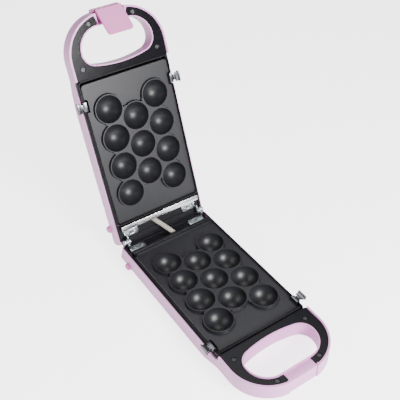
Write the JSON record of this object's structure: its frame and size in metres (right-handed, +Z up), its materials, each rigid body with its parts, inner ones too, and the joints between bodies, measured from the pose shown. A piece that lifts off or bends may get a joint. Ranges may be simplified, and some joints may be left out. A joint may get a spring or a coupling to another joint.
{
  "type": "donut maker",
  "caption": "Clam-shell electric maker for bite-size round donuts, lying open: two handled halves with non-stick cavity plates, a hinge, plate clips and a closing latch.",
  "frame": {"origin": "bottom centre of the open object's box, at the level that it rests on", "axes": "+X to the right seen from the handle, +Y from the base's handle towards the hinge, +Z up"},
  "size_m": [0.1368, 0.386, 0.2963],
  "materials": {
    "shell_pink": "gloss",
    "accent_pink": "gloss",
    "liner_black": "semi-gloss",
    "non_stick": "satin non-stick coating",
    "frame_dark": "satin",
    "bright_steel": "brushed",
    "zinc_steel": "zinc plated",
    "screw_dark": "blackened",
    "heater_steel": "satin",
    "lens_dark": "gloss",
    "board_green": "matte",
    "badge_grey": "satin",
    "ceramic": "matte",
    "rubber_black": "matte",
    "braid": "braided"
  },
  "bodies": {
    "base": {"base_bracket_rivets": "zinc_steel", "base_foot_bar": "accent_pink", "base_handle_liner": "liner_black", "base_heating_element": "heater_steel", "base_hinge_bracket_left": "zinc_steel", "base_hinge_bracket_right": "zinc_steel", "base_inner_frame": "frame_dark", "base_liner_screws": "screw_dark", "base_plate": "non_stick", "base_retaining_bar": "frame_dark", "base_shell": "shell_pink", "cord_bushing": "rubber_black", "hinge_pin_left": "zinc_steel", "hinge_pin_right": "zinc_steel", "hinge_springs": "zinc_steel", "rubber_feet": "rubber_black", "terminal_block": "ceramic", "thermal_fuse": "ceramic", "thermostat": "zinc_steel", "wire_sleeve": "braid"},
    "lid": {"lid_bracket_rivets": "zinc_steel", "lid_foot_bar": "accent_pink", "lid_handle_liner": "liner_black", "lid_heating_element": "heater_steel", "lid_hinge_bracket_left": "zinc_steel", "lid_hinge_bracket_right": "zinc_steel", "lid_inner_frame": "frame_dark", "lid_liner_screws": "screw_dark", "lid_plate": "non_stick", "lid_retaining_strip": "bright_steel", "lid_shell": "shell_pink", "latch_pin": "zinc_steel", "latch_block": "accent_pink", "indicator_bezel": "shell_pink", "indicator_lens": "lens_dark", "indicator_lamps": "board_green", "badge": "badge_grey"},
    "latch": {"latch": "accent_pink"},
    "base_clip_left": {"base_clip_left": "zinc_steel"},
    "base_clip_right": {"base_clip_right": "zinc_steel"},
    "lid_clip_left": {"lid_clip_left": "zinc_steel"},
    "lid_clip_right": {"lid_clip_right": "zinc_steel"}
  },
  "joints": [
    {"name": "lid_hinge", "type": "hinge", "parent": "base", "child": "lid", "pos_m": [0, 0.08345, 0.0324], "axis": [1, 0, 0], "range_deg": [0, 108.7], "deforming": ["wire_sleeve"]},
    {"name": "latch_pivot", "type": "hinge", "parent": "lid", "child": "latch", "pos_m": [0, 0.17578, 0.29021], "axis": [1, 0, 0], "range_deg": [-51, 0]},
    {"name": "base_clip_left_slide", "type": "slide", "parent": "base", "child": "base_clip_left", "axis": [-1, 0, 0], "range_m": [0, 0.0032], "stiffness_N_per_m": 800},
    {"name": "base_clip_right_slide", "type": "slide", "parent": "base", "child": "base_clip_right", "axis": [1, 0, 0], "range_m": [0, 0.0032], "stiffness_N_per_m": 800},
    {"name": "lid_clip_left_slide", "type": "slide", "parent": "lid", "child": "lid_clip_left", "axis": [-1, 0, 0], "range_m": [0, 0.0032], "stiffness_N_per_m": 800},
    {"name": "lid_clip_right_slide", "type": "slide", "parent": "lid", "child": "lid_clip_right", "axis": [1, 0, 0], "range_m": [0, 0.0032], "stiffness_N_per_m": 800}
  ],
  "couplings": [
    {"joint": "latch_pivot", "follows": "lid_hinge", "ratio": -0.469}
  ]
}
